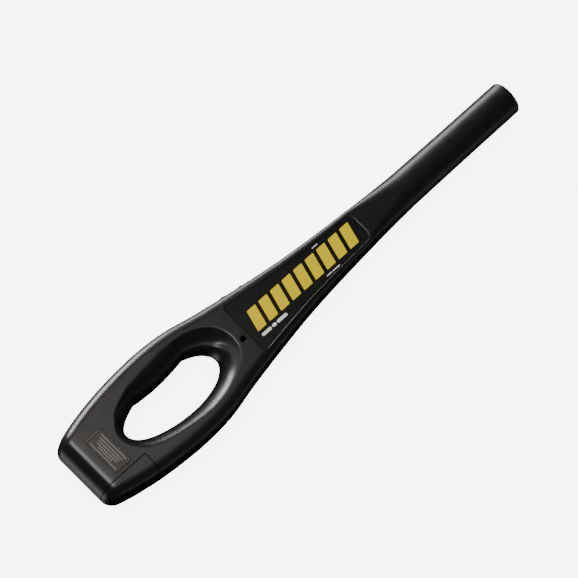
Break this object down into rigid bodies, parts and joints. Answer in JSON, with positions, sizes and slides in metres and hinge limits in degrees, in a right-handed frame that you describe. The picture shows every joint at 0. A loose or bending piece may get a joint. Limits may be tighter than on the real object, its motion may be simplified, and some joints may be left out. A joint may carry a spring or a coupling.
{
  "type": "hand-held metal detector wand",
  "caption": "Flat black two-shell detector wand with a looped hand grip, a battery door, a rocker switch, indicator lamps and a round search tube.",
  "frame": {"origin": "under the middle of the length, on the plane of the flat back face", "axes": "+X from the butt to the tip along the search tube, +Y towards the edge with the rocker switch, +Z out of the label face"},
  "size_m": [0.45, 0.0834, 0.036],
  "materials": {
    "front_shell": "satin black, fine moulded texture",
    "back_shell": "satin black, fine moulded texture",
    "battery_door": "satin black, fine moulded texture",
    "label_film": "black printed film with a yellow band of plain bars",
    "rating_plate": "matt dark grey plate with plain raised bars",
    "screw_steel": "zinc plated",
    "battery_wrap": "satin wrap",
    "plated_metal": "nickel plated",
    "inner_plastic": "plain moulded",
    "red_plastic": "plain moulded",
    "foam": "closed-cell foam",
    "bezel_plastic": "satin black",
    "rocker_plastic": "satin dark grey",
    "contact_brass": "bright",
    "window_lens": "smoked translucent",
    "led_green": "tinted clear",
    "led_amber": "tinted clear",
    "led_red": "tinted clear",
    "socket_plastic": "plain moulded",
    "speaker_steel": "stamped, dark",
    "cone_paper": "pressed paper",
    "holder_rubber": "moulded",
    "weight_metal": "sintered tungsten alloy",
    "board_laminate": "green solder mask",
    "chip_plastic": "moulded epoxy",
    "capacitor_can": "shrink sleeve",
    "ferrite": "sintered",
    "trimmer_blue": "moulded",
    "connector_nylon": "natural nylon",
    "former_plastic": "natural moulded",
    "copper_wire": "enamelled copper winding",
    "shield_foil": "foil",
    "lead_red": "insulated lead",
    "lead_blue": "insulated lead",
    "lead_yellow": "insulated lead",
    "lead_black": "insulated lead",
    "lead_grey": "insulated lead"
  },
  "bodies": {
    "wand_body": {"front_shell": "front_shell", "back_shell": "back_shell", "housing_screws": "screw_steel", "name_label": "label_film", "rating_plate": "rating_plate", "battery_case": "battery_wrap", "battery_studs": "plated_metal", "battery_tray": "inner_plastic", "contact_block": "red_plastic", "contact_plates": "plated_metal", "switch_bezel": "bezel_plastic", "rocker_pin": "screw_steel", "switch_housing": "inner_plastic", "switch_terminals": "contact_brass", "indicator_window": "window_lens", "green_led": "led_green", "amber_led": "led_amber", "red_led": "led_red", "earphone_socket": "socket_plastic", "socket_terminals": "contact_brass", "speaker_gasket": "foam", "speaker_frame": "speaker_steel", "speaker_cone": "cone_paper", "speaker_magnet": "plated_metal", "motor_holder": "holder_rubber", "motor_can": "plated_metal", "circuit_board": "board_laminate", "board_screws": "screw_steel", "control_chip": "chip_plastic", "signal_chips": "chip_plastic", "capacitors": "capacitor_can", "resistors": "chip_plastic", "crystal": "plated_metal", "choke": "ferrite", "trimmer_base": "trimmer_blue", "board_connectors": "connector_nylon", "coil_former": "former_plastic", "transmit_coil": "copper_wire", "receive_coils": "copper_wire", "shield_sleeve": "shield_foil", "centring_rings": "foam", "tip_pad": "foam", "battery_leads": "lead_red", "motor_leads": "lead_blue", "switch_leads": "lead_yellow", "speaker_leads": "lead_black", "coil_leads": "lead_grey"},
    "battery_door_body": {"battery_door": "battery_door", "door_pad": "foam"},
    "rocker_body": {"rocker_cap": "rocker_plastic"},
    "carriage_body": {"switch_carriage": "contact_brass"},
    "motor_rotor_body": {"motor_shaft": "screw_steel", "motor_weight": "weight_metal"},
    "trimmer_rotor_body": {"trimmer_rotor": "contact_brass"}
  },
  "joints": [
    {"name": "battery_door_slide", "type": "slide", "parent": "wand_body", "child": "battery_door_body", "axis": [-1, 0, 0], "range_m": [0, 0.05]},
    {"name": "rocker_tilt", "type": "hinge", "parent": "wand_body", "child": "rocker_body", "pos_m": [-0.04122, 0.0224, 0.018], "axis": [0, 0, 1], "range_deg": [-7, 7]},
    {"name": "switch_contact_slide", "type": "slide", "parent": "wand_body", "child": "carriage_body", "axis": [0.9863, -0.1648, 0], "range_m": [-0.00063, 0.00063]},
    {"name": "motor_spin", "type": "hinge", "parent": "wand_body", "child": "motor_rotor_body", "pos_m": [-0.125, 0.029, 0.018], "axis": [1, 0, 0], "continuous": true},
    {"name": "trimmer_turn", "type": "hinge", "parent": "wand_body", "child": "trimmer_rotor_body", "pos_m": [-0.047, 0, 0.0205], "axis": [0, 0, 1], "range_deg": [-90, 90]}
  ],
  "couplings": [
    {"joint": "rocker_tilt", "follows": "switch_contact_slide", "rad_per_m": 192}
  ]
}
